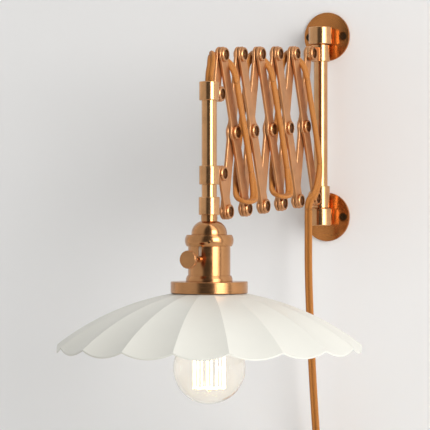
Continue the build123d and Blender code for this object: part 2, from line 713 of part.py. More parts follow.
with BuildPart() as socket_insert:
    insert_top_z = BODY_TOP_Z + BODY_ENGAGEMENT
    insert_radius = INSERT_DIAMETER / 2
    turn(LAMP_PROFILE, LAMP_AXIS, *ring_points(INSERT_DIAMETER, 0, INSERT_END_Z, insert_top_z))
    turn(
        LAMP_PROFILE,
        LAMP_AXIS,
        *ring_points(INSERT_BORE, 0, INSERT_END_Z, BORE_TOP_Z),
        mode=Mode.SUBTRACT,
    )
    with BuildSketch(radial_plane(0, SWITCH_Z)):
        Circle(SWITCH_STEM_DIAMETER / 2 + RUN_GAP)
    extrude(amount=INSERT_DIAMETER, mode=Mode.SUBTRACT)
save("socket_insert", socket_insert)

with BuildPart() as socket_contact:
    contact_low_z = BORE_TOP_Z - FACE_GAP - CONTACT_THICKNESS
    turn(
        LAMP_PROFILE,
        LAMP_AXIS,
        *ring_points(CONTACT_DIAMETER, 0, contact_low_z, BORE_TOP_Z - FACE_GAP),
    )
save("socket_contact", socket_contact)


# ---- switch ----------------------------------------------------------------------------------
def stand_out(azimuth, height, start, end, diameter, bore_diameter=0.0):
    """A round piece that stands out from the lamp's axis between two distances, in the piece being made."""
    plane = radial_plane(azimuth, height).offset(start)
    with BuildSketch(plane) as section:
        Circle(diameter / 2)
        if bore_diameter:
            Circle(bore_diameter / 2, mode=Mode.SUBTRACT)
    return extrude(section.sketch, amount=end - start)


stem_bore = SWITCH_STEM_DIAMETER + 2 * RUN_GAP
body_radius = BODY_DIAMETER / 2
knob_back = SWITCH_REACH - KNOB_THICKNESS
with BuildPart() as switch_bushing:
    stand_out(0, SWITCH_Z, BODY_BORE / 2, body_radius + SHELL_WALL, BUSHING_DIAMETER - SHELL_WALL, stem_bore)
    stand_out(0, SWITCH_Z, body_radius + FACE_GAP, body_radius + BUSHING_LENGTH, BUSHING_DIAMETER, stem_bore)
save("switch_bushing", switch_bushing)

with BuildPart() as switch_stem:
    stand_out(0, SWITCH_Z, SWITCH_STEM_INNER_REACH, knob_back - FACE_GAP, SWITCH_STEM_DIAMETER)
save("switch_stem", switch_stem)

with BuildPart() as switch_knob:
    knob_plane = radial_plane(0, SWITCH_Z).offset(knob_back)
    with BuildSketch(knob_plane):
        Circle(KNOB_DIAMETER / 2)
    extrude(amount=KNOB_THICKNESS)
    chamfer(switch_knob.edges().filter_by(GeomType.CIRCLE), KNOB_CHAMFER)
    with BuildSketch(knob_plane):
        with PolarLocations(KNOB_DIAMETER / 2, KNOB_NOTCHES):
            Circle(KNOB_NOTCH_DIAMETER / 2)
    extrude(amount=KNOB_THICKNESS, mode=Mode.SUBTRACT)
save("switch_knob", switch_knob)


# ---- shade -----------------------------------------------------------------------------------
def shade_drop(radius):
    """How far the shade's ridge lies below its shoulder: a circular arc from shoulder to rim."""
    shoulder = SHADE_SHOULDER_DIAMETER / 2
    span = SHADE_DIAMETER / 2 - shoulder
    chord = sqrt(span**2 + SHADE_DROP**2)
    arc_radius = chord**2 / (8 * SHADE_SAGITTA) + SHADE_SAGITTA / 2
    half_angle = asin(chord / (2 * arc_radius))
    start_slope = asin(SHADE_DROP / chord) - half_angle
    centre_radius = shoulder - arc_radius * sin(start_slope)
    centre_drop = arc_radius * cos(start_slope)
    return centre_drop - sqrt(arc_radius**2 - (radius - centre_radius) ** 2)


def scoop_depth(radius):
    """How far the middle of a panel lies inside the ridges at a radius."""
    shoulder = SHADE_SHOULDER_DIAMETER / 2
    share = (radius - shoulder) / (SHADE_DIAMETER / 2 - shoulder)
    return SCOOP_AT_SHOULDER + share * (SCOOP_AT_RIM - SCOOP_AT_SHOULDER)


def fluted_section(plane, radius, scoop):
    """A closed outline of hollow arcs between ridges."""
    step = 360 / SHADE_PANELS
    with BuildSketch(plane) as section:
        with BuildLine():
            for panel in range(SHADE_PANELS):
                start = SHADE_TURN - 90 + panel * step
                ThreePointArc(
                    Vector(radius, 0).rotate(Axis.Z, start),
                    Vector(radius - scoop, 0).rotate(Axis.Z, start + step / 2),
                    Vector(radius, 0).rotate(Axis.Z, start + step),
                )
        make_face()
    return section.sketch


def shade_solid(lowered):
    """The full fluted form under the shade's outer face, lowered by a distance."""
    inner = SHADE_SHOULDER_DIAMETER / 2
    outer = SHADE_DIAMETER / 2 + SHADE_RIM_SPARE
    sections = []
    for count in range(SHADE_SECTIONS + 1):
        radius = inner + (outer - inner) * count / SHADE_SECTIONS
        plane = Plane((0, LAMP_Y, SHADE_Z - lowered - shade_drop(radius)))
        sections.append(fluted_section(plane, radius, scoop_depth(radius)))
    return loft(sections, mode=Mode.PRIVATE)


HUB_TOP_Z = SHADE_Z
HUB_END_Z = HUB_TOP_Z - SHADE_THICKNESS
with BuildPart() as shade:
    add(shade_solid(0.0))
    add(shade_solid(SHADE_THICKNESS), mode=Mode.SUBTRACT)
    with BuildSketch(Plane((0, LAMP_Y, SHADE_Z))):
        Circle(SHADE_DIAMETER / 2)
        Circle(INSERT_DIAMETER / 2 + SHADE_BORE_GAP, mode=Mode.SUBTRACT)
    extrude(amount=-2 * SHADE_DROP, mode=Mode.INTERSECT)
save("shade", shade)

with BuildPart() as shade_ring:
    turn(
        LAMP_PROFILE,
        LAMP_AXIS,
        *chamfered_ring_points(
            SHADE_RING_DIAMETER,
            INSERT_DIAMETER + 2 * RUN_GAP,
            HUB_END_Z - FACE_GAP - SHADE_RING_HEIGHT,
            HUB_END_Z - FACE_GAP,
            COLLAR_CHAMFER,
        ),
    )
save("shade_ring", shade_ring)

# ---- bulb ------------------------------------------------------------------------------------
with BuildPart() as bulb_base:
    cap_radius = CAP_DIAMETER / 2
    thread_pitch = CAP_LENGTH / (CAP_THREADS + 2)
    with BuildSketch(LAMP_PROFILE):
        with BuildLine():
            Polyline(
                (cap_radius, CAP_END_Z),
                (0, CAP_END_Z),
                (0, CAP_TOP_Z + CAP_TIP_HEIGHT),
                (CAP_TIP_DIAMETER / 2, CAP_TOP_Z + CAP_TIP_HEIGHT),
                (CAP_TIP_DIAMETER / 2, CAP_TOP_Z + CAP_TIP_HEIGHT / 2),
                (cap_radius - CAP_THREAD_DEPTH, CAP_TOP_Z - CAP_TIP_HEIGHT / 4),
                (cap_radius - CAP_THREAD_DEPTH, CAP_END_Z + (CAP_THREADS + 1) * thread_pitch),
            )
            for thread in range(CAP_THREADS, 0, -1):
                thread_z = CAP_END_Z + thread * thread_pitch
                ThreePointArc(
                    (cap_radius - CAP_THREAD_DEPTH, thread_z + thread_pitch),
                    (cap_radius, thread_z + thread_pitch / 2),
                    (cap_radius - CAP_THREAD_DEPTH, thread_z),
                )
            Polyline(
                (cap_radius - CAP_THREAD_DEPTH, CAP_END_Z + thread_pitch),
                (cap_radius, CAP_END_Z + thread_pitch / 2),
                (cap_radius, CAP_END_Z),
            )
        make_face()
    revolve(axis=LAMP_AXIS)
save("bulb_base", bulb_base)

with BuildPart() as bulb_glass:
    neck_half = BULB_NECK_DIAMETER / 2
    neck_end_z = CAP_END_Z - FACE_GAP
    globe_radius = GLOBE_DIAMETER / 2
    mouth_depth = 2 * GLASS_WALL
    with BuildSketch(LAMP_PROFILE) as glass_section:
        with Locations((0, GLOBE_Z)):
            Circle(globe_radius)
        with Locations((0, (neck_end_z + GLOBE_Z) / 2)):
            Rectangle(BULB_NECK_DIAMETER, neck_end_z - GLOBE_Z)
        shoulder_z = GLOBE_Z + sqrt(globe_radius**2 - neck_half**2)
        neck_corners = glass_section.vertices().filter_by_position(
            Axis.Y, shoulder_z - GLASS_WALL, shoulder_z + GLASS_WALL
        )
        fillet(neck_corners, BULB_SHOULDER_RADIUS)
        offset(amount=-GLASS_WALL, mode=Mode.SUBTRACT)
        with Locations((0, neck_end_z)):
            Rectangle(BULB_NECK_DIAMETER - 2 * GLASS_WALL, 2 * mouth_depth, mode=Mode.SUBTRACT)
        with Locations((-globe_radius, GLOBE_Z)):
            Rectangle(GLOBE_DIAMETER, GLOBE_DIAMETER + 2 * (neck_end_z - GLOBE_Z), mode=Mode.SUBTRACT)
    revolve(axis=LAMP_AXIS)
save("bulb_glass", bulb_glass)

with BuildPart() as bulb_stem:
    foot_radius = BULB_NECK_DIAMETER / 2 - GLASS_WALL - RUN_GAP
    stem_radius = GLASS_STEM_DIAMETER / 2
    foot_z = CAP_END_Z - FACE_GAP
    turn(
        LAMP_PROFILE,
        LAMP_AXIS,
        (0, foot_z),
        (foot_radius, foot_z),
        (foot_radius, foot_z - GLASS_FOOT_THICKNESS),
        (2 * stem_radius, foot_z - 2 * GLASS_FOOT_THICKNESS),
        (stem_radius, foot_z - 4 * GLASS_FOOT_THICKNESS),
        (stem_radius, STEM_END_Z + stem_radius / 2),
        (stem_radius / 2, STEM_END_Z),
        (0, STEM_END_Z),
    )
save("bulb_stem", bulb_stem)

with BuildPart() as bulb_filament:
    wire_radius = FILAMENT_WIRE / 2
    for end_z in (FILAMENT_END_Z, FILAMENT_TOP_Z):
        hub_low_z = end_z - FILAMENT_WIRE
        hub_high_z = end_z + FILAMENT_WIRE
        hub_bore = GLASS_STEM_DIAMETER + 2 * RUN_GAP
        turn(
            LAMP_PROFILE,
            LAMP_AXIS,
            *ring_points(FILAMENT_HUB_DIAMETER, hub_bore, hub_low_z, hub_high_z),
        )
        for strand in range(FILAMENT_COUNT):
            azimuth = (strand + 0.5) * 360 / FILAMENT_COUNT
            stand_out(
                azimuth,
                end_z,
                FILAMENT_HUB_DIAMETER / 2 - wire_radius,
                FILAMENT_RADIUS + HOOK_PROUD,
                HOOK_WIRE,
            )
    with BuildSketch(Plane((0, LAMP_Y, FILAMENT_END_Z - HOOK_WIRE))):
        with PolarLocations(FILAMENT_RADIUS, FILAMENT_COUNT, start_angle=180 / FILAMENT_COUNT - 90):
            Circle(wire_radius)
    extrude(amount=FILAMENT_TOP_Z - FILAMENT_END_Z + 2 * HOOK_WIRE)
save("bulb_filament", bulb_filament)


# ---- cord ------------------------------------------------------------------------------------
def bend_radii(points):
    """One radius for each corner of a route, from the shorter run beside it and half the turn."""
    radii = []
    for before, corner, after in zip(points, points[1:], points[2:]):
        arriving = corner - before
        leaving = after - corner
        half_turn = radians(arriving.get_angle(leaving)) / 2
        radii.append(RUN_SHARE * min(arriving.length, leaving.length) / tan(half_turn))
    return radii


def sweep_cord(path):
    """The cord's round tube along a path, in the piece being made."""
    with BuildSketch(Plane(origin=path @ 0, z_dir=path % 0)) as section:
        Circle(CORD_DIAMETER / 2)
    return sweep(section.sketch, path=path)


def make_cord(name, points):
    """A free stretch of cord through the corners of its route."""
    radii = bend_radii(points)
    with BuildPart() as cord:
        with BuildLine() as route:
            FilletPolyline(*points, radius=radii)
        sweep_cord(route.wires()[0])
    length = sum(edge.length for edge in route.edges())
    share = cord.part.volume / (pi * (CORD_DIAMETER / 2) ** 2 * length)
    print(f"{name}: {length:.0f} long, volume share {share:.4f}, radii", [round(r, 1) for r in radii])
    save(name, cord)
    return length


def on_front_bar(pair, share, side, x):
    """A point beside a front bar: a share of the way down from its top pivot, side towards the wall."""
    along = -FRONT_WAY * BAR_PIVOTS * share
    place = top_pivot(pair) + along + Vector(sin(FRONT_BAR_ANGLE), cos(FRONT_BAR_ANGLE)) * side
    return Vector(x, place.X, place.Y)


def on_back_bar(pair, share, side, x):
    """A point beside a back bar: a share of the way up from its bottom pivot, side towards the wall."""
    along = -BACK_WAY * BAR_PIVOTS * share
    place = bottom_pivot(pair) + along + Vector(sin(BACK_BAR_ANGLE), -cos(BACK_BAR_ANGLE)) * side
    return Vector(x, place.X, place.Y)


def near(place, toward_wall, up, x):
    """A point given by its distances from a pivot."""
    return Vector(x, place.X + toward_wall, place.Y + up)


def front_route(pair):
    """The cord from behind a top pivot, round in front of the bar and down its wall side."""
    top = top_pivot(pair)
    if pair == 1:
        beginning = [near(top, -2, -2.1, CORD_BACK), near(top, 7, -1.2, CORD_BACK)]
    else:
        beginning = [near(top, -3, -5.4, CORD_BACK), near(top, 7.5, 3, CORD_BACK)]
    return beginning + [
        near(top, 14.5, -3, -3.5),
        near(top, 14.5, -13, 6.5),
        on_front_bar(pair, 0.17, CORD_SIDE, CORD_FRONT),
        on_front_bar(pair, 0.33, CORD_SIDE - 0.3, CORD_FRONT + 0.2),
        on_front_bar(pair, 0.5, CORD_SIDE, CORD_FRONT),
        on_front_bar(pair, 0.66, CORD_SIDE + 1.4, CORD_FRONT - 0.2),
        on_front_bar(pair, 0.8, CORD_SIDE + 2.1, CORD_FRONT - 0.4),
    ]


def front_turn(bottom):
    """The end of a front run: across the bar above a bottom pivot, round its lamp side to behind it."""
    return [
        near(bottom, 8, 16.5, 8.2),
        near(bottom, -8.5, 11, 8.6),
        near(bottom, -18, 8.5, 4),
        near(bottom, -15.5, 11, CORD_BACK),
        near(bottom, -6.2, 16.6, CORD_BACK),
    ]


def back_route(pair):
    """The cord from behind a bottom pivot, up behind the bar, to behind its top pivot."""
    bottom = bottom_pivot(pair)
    top = top_pivot(pair + 1)
    return [
        near(bottom, -6.2, 16.6, CORD_BACK),
        near(bottom, 3.1, 22.2, CORD_BACK),
        on_back_bar(pair, 0.32, -5, CORD_BACK),
        on_back_bar(pair, 0.5, -5.6, CORD_BACK - 0.2),
        on_back_bar(pair, 0.67, -4.8, CORD_BACK),
        on_back_bar(pair, 0.83, -4.5, CORD_BACK - 0.2),
        near(top, -10.5, -11.4, CORD_BACK),
        near(top, -3, -5.4, CORD_BACK),
    ]


def coil_points():
    """Quarter-turn stations of the coil: in over one layer, half a turn across, and out again."""
    centre_y = POST_Y - COIL_REACH - COIL_RADIUS
    quarters_per_layer = round(COIL_TURNS_PER_LAYER * 4)
    inner_radius = COIL_RADIUS - COIL_PITCH * COIL_TURNS_PER_LAYER
    stations = []
    for quarter in range(2 * quarters_per_layer + 3):
        if quarter <= quarters_per_layer:
            radius = COIL_RADIUS - COIL_PITCH * quarter / 4
            x = 0
        elif quarter == quarters_per_layer + 1:
            radius = inner_radius
            x = -COIL_PITCH / 2
        else:
            radius = inner_radius + COIL_PITCH * (quarter - quarters_per_layer - 2) / 4
            x = -COIL_PITCH
        angle = -radians(90 * quarter)
        stations.append((x, centre_y + radius * cos(angle), COIL_TOP_Z + radius * sin(angle), angle))
    return stations


def coil_heading(station):
    """The coil's direction at a station: down on the wall's side, towards the lamp below."""
    return Vector(0, sin(station[3]), -cos(station[3]))


def joint_of_arcs(start, start_way, end, end_way):
    """Where two equal-tangent arcs between two stations meet, and the corners beside it."""
    chord = end - start
    ways = start_way + end_way
    across = chord.dot(ways)
    spare = 2 * (1 - start_way.dot(end_way))
    distance = (-across + sqrt(across**2 + spare * chord.dot(chord))) / spare
    return ((start + start_way * distance) + (end - end_way * distance)) / 2


def make_coil():
    """Five turns of cord in two layers, then a short straight tail down to the plug."""
    stations = coil_points()
    path_points = []
    with BuildPart() as coil:
        with BuildLine() as route:
            for first, second in zip(stations, stations[1:]):
                start = Vector(*first[:3])
                end = Vector(*second[:3])
                start_way = coil_heading(first)
                meeting = joint_of_arcs(start, start_way, end, coil_heading(second))
                first_arc = TangentArc(start, meeting, tangent=start_way)
                TangentArc(meeting, end, tangent=first_arc % 1)
            tail_top = Vector(*stations[-1][:3])
            Line(tail_top, tail_top - Vector(0, 0, TAIL_LENGTH))
        path = route.wires()[0]
        sweep_cord(path)
    samples = [path @ (step / COIL_SAMPLES) for step in range(COIL_SAMPLES + 1)]
    skip = round(2 * COIL_RADIUS / path.length * COIL_SAMPLES)
    gap = min(
        (samples[low] - samples[high]).length - CORD_DIAMETER
        for low in range(COIL_SAMPLES + 1)
        for high in range(low + skip, COIL_SAMPLES + 1)
    )
    print(f"cord_coil: {path.length:.0f} long, least gap to itself {gap:.2f}")
    share = coil.part.volume / (pi * (CORD_DIAMETER / 2) ** 2 * path.length)
    print(f"cord_coil: volume share {share:.4f}")
    save("cord_coil", coil)
    return path.length


cord_length = make_cord(
    "cord_lead",
    [
        Vector(0, LAMP_Y, TUBE_END_Z + TUBE_ENGAGEMENT),
        Vector(0.6, LAMP_Y - 0.5, TUBE_TOP_Z - 70),
        Vector(-0.5, LAMP_Y + 0.5, TUBE_TOP_Z - 35),
        Vector(0, LAMP_Y, TUBE_TOP_Z - 8),
        Vector(0, LAMP_Y + 0.3, TUBE_TOP_Z + 8),
        near(top_pivot(1), -23, -9, -3),
        near(top_pivot(1), -12, -3.1, CORD_BACK),
        near(top_pivot(1), -2, -2.1, CORD_BACK),
    ],
)
for pair in (1, 3):
    cord_length += make_cord(f"cord_front_{pair}", front_route(pair) + front_turn(bottom_pivot(pair + 1)))
    cord_length += make_cord(f"cord_back_{pair + 1}", back_route(pair + 1))
LOWEST_PIVOT = bottom_pivot(BAYS + 1)
DROP_TOP = near(LOWEST_PIVOT, -13.9, -11.7, 0)


def on_drop(share, reach, x):
    """A point of the free drop: a share of the way down to the coil, reach out from the post's axis."""
    return Vector(x, POST_Y - reach, DROP_TOP.Z + share * (COIL_TOP_Z - DROP_TOP.Z))


cord_length += make_cord(
    f"cord_front_{BAYS}",
    front_route(BAYS) + [near(LOWEST_PIVOT, -10.5, 4.5, 7.5), near(LOWEST_PIVOT, -13.9, -2.5, 0), DROP_TOP],
)
cord_length += make_cord(
    "cord_drop",
    [
        DROP_TOP,
        on_drop(0.079, POST_Y - DROP_TOP.Y, 0),
        on_drop(0.215, 31, -0.8),
        on_drop(0.381, 26.5, -1),
        on_drop(0.546, 20.5, -1.4),
        on_drop(0.712, 14.5, -1),
        on_drop(0.844, 9, -0.4),
        on_drop(0.934, COIL_REACH, 0),
        on_drop(1, COIL_REACH, 0),
    ],
)
cord_length += make_coil()
print(f"whole cord: {cord_length:.0f}")

# ---- plug ------------------------------------------------------------------------------------
PLUG_X = -COIL_PITCH
PLUG_Y = POST_Y - COIL_REACH
RELIEF_TOP_Z = COIL_TOP_Z - TAIL_LENGTH
PLUG_TOP_Z = RELIEF_TOP_Z - PLUG_RELIEF_LENGTH
PLUG_END_Z = PLUG_TOP_Z - PLUG_HEIGHT
with BuildPart() as plug_body:
    with BuildSketch(Plane((PLUG_X, PLUG_Y, PLUG_END_Z))):
        RectangleRounded(PLUG_WIDTH, PLUG_THICKNESS, PLUG_FILLET)
    extrude(amount=PLUG_HEIGHT)
    fillet(plug_body.faces().sort_by(Axis.Z)[-1].edges(), PLUG_FILLET / 2)
    with BuildSketch(Plane((PLUG_X, PLUG_Y, PLUG_TOP_Z))):
        Circle(PLUG_RELIEF_DIAMETER / 2)
    with BuildSketch(Plane((PLUG_X, PLUG_Y, RELIEF_TOP_Z))):
        Circle(PLUG_RELIEF_TIP_DIAMETER / 2)
    loft()
    with BuildSketch(Plane((PLUG_X, PLUG_Y, PLUG_END_Z))):
        with GridLocations(PLUG_PIN_SPACING, 1, 2, 1):
            Circle(PLUG_PIN_DIAMETER / 2 + RUN_GAP)
    extrude(amount=PLUG_PIN_SEAT, mode=Mode.SUBTRACT)
save("plug_body", plug_body)

with BuildPart() as plug_pins:
    with BuildSketch(Plane((PLUG_X, PLUG_Y, PLUG_END_Z + PLUG_PIN_SEAT - FACE_GAP))):
        with GridLocations(PLUG_PIN_SPACING, 1, 2, 1):
            Circle(PLUG_PIN_DIAMETER / 2)
    extrude(amount=FACE_GAP - PLUG_PIN_SEAT - PLUG_PIN_LENGTH)
    fillet(plug_pins.faces().group_by(Axis.Z)[0].edges(), PLUG_PIN_DIAMETER / 3)
save("plug_pins", plug_pins)
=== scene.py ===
"""Looks of the accordion wall lamp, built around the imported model.

Lengths are in metres, in the frame of the model: the wall is y = 0, the arm reaches along -Y.
The cord's route is listed in millimetres and turned into metres by near and beside.
"""

import json
import math
import bpy
from mathutils import Matrix, Vector


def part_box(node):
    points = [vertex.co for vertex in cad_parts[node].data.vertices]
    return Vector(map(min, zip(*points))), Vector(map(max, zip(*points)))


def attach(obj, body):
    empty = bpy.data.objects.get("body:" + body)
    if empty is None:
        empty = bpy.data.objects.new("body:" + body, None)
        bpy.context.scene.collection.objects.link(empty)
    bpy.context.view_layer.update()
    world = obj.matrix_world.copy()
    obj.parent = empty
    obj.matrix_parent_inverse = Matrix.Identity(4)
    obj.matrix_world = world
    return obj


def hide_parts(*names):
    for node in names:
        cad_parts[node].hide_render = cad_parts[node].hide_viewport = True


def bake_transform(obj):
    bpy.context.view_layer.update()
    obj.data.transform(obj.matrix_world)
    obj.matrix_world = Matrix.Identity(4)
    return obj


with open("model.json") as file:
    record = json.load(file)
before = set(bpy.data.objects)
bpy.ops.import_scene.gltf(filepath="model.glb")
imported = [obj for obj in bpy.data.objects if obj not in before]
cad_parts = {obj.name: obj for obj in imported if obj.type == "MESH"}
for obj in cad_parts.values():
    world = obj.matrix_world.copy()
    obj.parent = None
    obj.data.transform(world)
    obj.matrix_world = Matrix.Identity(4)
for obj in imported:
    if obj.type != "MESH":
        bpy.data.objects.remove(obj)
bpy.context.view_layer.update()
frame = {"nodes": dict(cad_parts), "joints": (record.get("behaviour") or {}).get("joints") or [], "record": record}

MM = 0.001

# ---- places read from the frame --------------------------------------------------------------
PIVOTS = {joint["name"]: Vector(joint["pos_m"]) for joint in frame["joints"] if joint["type"] == "hinge"}
TOP_1 = PIVOTS["upper_link_turn"]
BOTTOM_2 = PIVOTS["front_1_turn"]
TOP_3 = PIVOTS["back_2_turn"]
BOTTOM_4 = PIVOTS["front_3_turn"]
TOP_5 = PIVOTS["back_4_turn"]
BOTTOM_6 = PIVOTS["wall_slider_turn"]
POST_Y = PIVOTS["arm_swivel"].y


def middle(node):
    low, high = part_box(node)
    return (Vector(low) + Vector(high)) / 2


def low_z(node):
    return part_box(node)[0][2]


def high_z(node):
    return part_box(node)[1][2]


LAMP_Y = middle("lamp_tube").y
TUBE_TOP_Z = high_z("lamp_tube")


# ---- camera ----------------------------------------------------------------------------------
CAMERA_AZIMUTH = math.radians(26.5)
CAMERA_PLACE = Vector((1.031, -2.344, -0.0964))
FOCAL_PIXELS = 2336.0
FRAME_PIXELS = 430.0
SENSOR_WIDTH = 36.0


def make_camera():
    camera = bpy.data.objects.new("camera", bpy.data.cameras.new("camera"))
    camera.data.sensor_width = SENSOR_WIDTH
    camera.data.lens = SENSOR_WIDTH * FOCAL_PIXELS / FRAME_PIXELS
    camera.location = CAMERA_PLACE
    camera.rotation_euler = (math.radians(90), 0, CAMERA_AZIMUTH)
    bpy.context.scene.collection.objects.link(camera)
    bpy.context.scene.camera = camera


# ---- materials -------------------------------------------------------------------------------
NOISE_LOW = 0.3
NOISE_HIGH = 0.7


class Shader:
    """A material under construction: its nodes, links and principled shader."""

    def __init__(self, name):
        self.material = bpy.data.materials.new(name)
        self.material.use_nodes = True
        self.nodes = self.material.node_tree.nodes
        self.links = self.material.node_tree.links
        self.surface = self.nodes["Principled BSDF"]
        self.place = self.nodes.new("ShaderNodeTexCoord")

    def link(self, source, target):
        self.links.new(source, target)

    def feed(self, **sources):
        """Links outputs to inputs of the principled shader, which are named with underscores."""
        for key, value in sources.items():
            self.link(value, self.surface.inputs[key.replace("_", " ")])

    def settings(self, **values):
        """Sets inputs of the principled shader, named in the same way."""
        for key, value in values.items():
            self.surface.inputs[key.replace("_", " ")].default_value = value

    def stretched(self, scale=(1, 1, 1)):
        """The object's own coordinates, scaled by axis."""
        mapping = self.nodes.new("ShaderNodeMapping")
        mapping.inputs["Scale"].default_value = scale
        self.link(self.place.outputs["Object"], mapping.inputs["Vector"])
        return mapping.outputs["Vector"]

    def noise(self, vector, scale, detail):
        node = self.nodes.new("ShaderNodeTexNoise")
        node.inputs["Scale"].default_value = scale
        node.inputs["Detail"].default_value = detail
        self.link(vector, node.inputs["Vector"])
        return node.outputs["Fac"]

    def ramp(self, factor, stops):
        """Colours at positions along a factor."""
        node = self.nodes.new("ShaderNodeValToRGB")
        while len(node.color_ramp.elements) < len(stops):
            node.color_ramp.elements.new(0.5)
        for element, (position, colour) in zip(node.color_ramp.elements, stops):
            element.position = position
            element.color = (*colour, 1.0)
        self.link(factor, node.inputs["Fac"])
        return node.outputs["Color"]

    def two_tone(self, factor, first, second):
        """From one colour to another over the middle of a factor's range, where noise mostly lies."""
        return self.ramp(factor, [(NOISE_LOW, first), (NOISE_HIGH, second)])

    def spread(self, factor, low, high):
        """A number that goes from low to high over the middle of a factor's range."""
        node = self.nodes.new("ShaderNodeMapRange")
        node.inputs["From Min"].default_value = NOISE_LOW
        node.inputs["From Max"].default_value = NOISE_HIGH
        node.inputs["To Min"].default_value = low
        node.inputs["To Max"].default_value = high
        self.link(factor, node.inputs["Value"])
        return node.outputs["Result"]

    def bump(self, height, distance, strength, under=None):
        """A normal raised by a height, over another normal if there is one."""
        node = self.nodes.new("ShaderNodeBump")
        node.inputs["Distance"].default_value = distance
        node.inputs["Strength"].default_value = strength
        self.link(height, node.inputs["Height"])
        if under is not None:
            self.link(under, node.inputs["Normal"])
        return node.outputs["Normal"]

    def soft_edges(self, radius):
        node = self.nodes.new("ShaderNodeBevel")
        node.samples = 6
        node.inputs["Radius"].default_value = radius
        return node.outputs["Normal"]


def tint(colour, factor):
    return tuple(min(1.0, channel * factor) for channel in colour)


def copper(name, colour, roughness, brushing, edge=0.35 * MM, metallic=1.0):
    """Copper plate: fine turned or brushed lines, a slightly uneven tone and softened edges."""
    shader = Shader(name)
    cloud = shader.noise(shader.stretched(), 70, 4)
    lines = shader.noise(shader.stretched(brushing), 1.0, 2)
    tone = shader.ramp(cloud, [(0.3, tint(colour, 0.86)), (0.55, colour), (0.75, tint(colour, 1.08))])
    shader.feed(Base_Color=tone)
    shader.feed(Roughness=shader.spread(lines, roughness * 0.75, roughness * 1.3))
    shader.feed(Normal=shader.bump(lines, 0.012 * MM, 0.6, shader.soft_edges(edge)))
    shader.settings(Metallic=metallic)
    return shader.material


# how finely the surface lines follow each other along x, y and z
TURNED = (40, 40, 2600)
TURNED_FLANGE = (60, 2600, 60)
BRUSHED_BAR = (300, 900, 120)
FINE_GRAIN = (500, 500, 500)
SCREW_GRAIN = (800, 800, 800)

COPPER_TUBE = (0.66, 0.355, 0.165)
COPPER_BAR = (0.58, 0.28, 0.122)
COPPER_FLANGE = (0.56, 0.222, 0.066)
COPPER_SOCKET = (0.53, 0.26, 0.11)
# painted shade: near-black copper standing in for the shade in the rivet heads' recesses and the flanges' screw
# holes
COPPER_PAINTED_SHADE = (0.16, 0.06, 0.018)
COPPER_SCREW = (0.05, 0.036, 0.022)
BRASS = (0.70, 0.50, 0.24)
GLASS_GLOW = (1.0, 0.93, 0.78, 1.0)
GLASS_GLOW_STRENGTH = 0.025
FILAMENT_STRENGTH = 9.0
WEAVE_ANGLE = 38
WEAVE_SCALE = 320


def make_materials():
    return {
        "tube": copper("satin_copper_tube", COPPER_TUBE, 0.20, TURNED),
        "bar": copper("satin_copper_bar", COPPER_BAR, 0.38, BRUSHED_BAR, metallic=0.85),
        "rivet": copper("copper_rivet", COPPER_BAR, 0.28, FINE_GRAIN),
        "flange": copper("polished_copper", COPPER_FLANGE, 0.24, TURNED_FLANGE),
        # painted shade, put into the rivet recesses and the screw holes
        "recess_painted_shade": copper("rivet_recess_painted_shade", COPPER_PAINTED_SHADE, 0.45, FINE_GRAIN),
        "screw": copper("screw_copper", COPPER_SCREW, 0.34, SCREW_GRAIN),
        "socket": copper("socket_copper", COPPER_SOCKET, 0.20, TURNED),
        "enamel": enamel(),
        "porcelain": porcelain(),
        "brass": copper("contact_brass", BRASS, 0.3, TURNED),
        "glass": glass(),
        "filament": filament(),
        "cord": textile(),
        "plug": plug_plastic(),
    }


def enamel():
    """White enamel with a barely uneven tone and gloss."""
    shader = Shader("white_enamel")
    cloud = shader.noise(shader.stretched(), 22, 5)
    shader.feed(Base_Color=shader.two_tone(cloud, (0.69, 0.688, 0.64), (0.715, 0.712, 0.66)))
    ripple = shader.noise(shader.stretched(), 60, 2)
    shader.feed(Roughness=shader.spread(ripple, 0.38, 0.44))
    shader.feed(Normal=shader.bump(ripple, 0.02 * MM, 0.2))
    shader.settings(Coat_Weight=0.12, Coat_Roughness=0.25)
    return shader.material


def porcelain():
    """Glazed porcelain, a little warmer than the enamel."""
    shader = Shader("porcelain")
    cloud = shader.noise(shader.stretched(), 120, 3)
    shader.feed(Base_Color=shader.two_tone(cloud, (0.80, 0.77, 0.68), (0.87, 0.85, 0.78)))
    shader.feed(Roughness=shader.spread(cloud, 0.18, 0.3))
    shader.feed(Normal=shader.bump(cloud, 0.04 * MM, 0.4))
    shader.settings(Coat_Weight=0.5)
    return shader.material


def glass():
    """Clear glass that takes up a trace of the filament's glow."""
    shader = Shader("clear_glass")
    haze = shader.noise(shader.stretched(), 45, 3)
    shader.feed(Roughness=shader.spread(haze, 0.0, 0.03))
    shader.feed(Base_Color=shader.two_tone(haze, (1.0, 0.97, 0.92), (1.0, 0.985, 0.955)))
    shader.settings(Transmission_Weight=1.0, IOR=1.45)
    shader.settings(Emission_Color=GLASS_GLOW, Emission_Strength=GLASS_GLOW_STRENGTH)
    return shader.material


def filament():
    """Glowing wire, brighter and paler in places."""
    shader = Shader("glowing_filament")
    flicker = shader.noise(shader.stretched((1, 1, 4)), 300, 2)
    tone = shader.two_tone(flicker, (1.0, 0.62, 0.22), (1.0, 0.78, 0.40))
    shader.feed(Base_Color=tone, Emission_Color=tone)
    shader.settings(Emission_Strength=FILAMENT_STRENGTH, Roughness=0.4)
    return shader.material


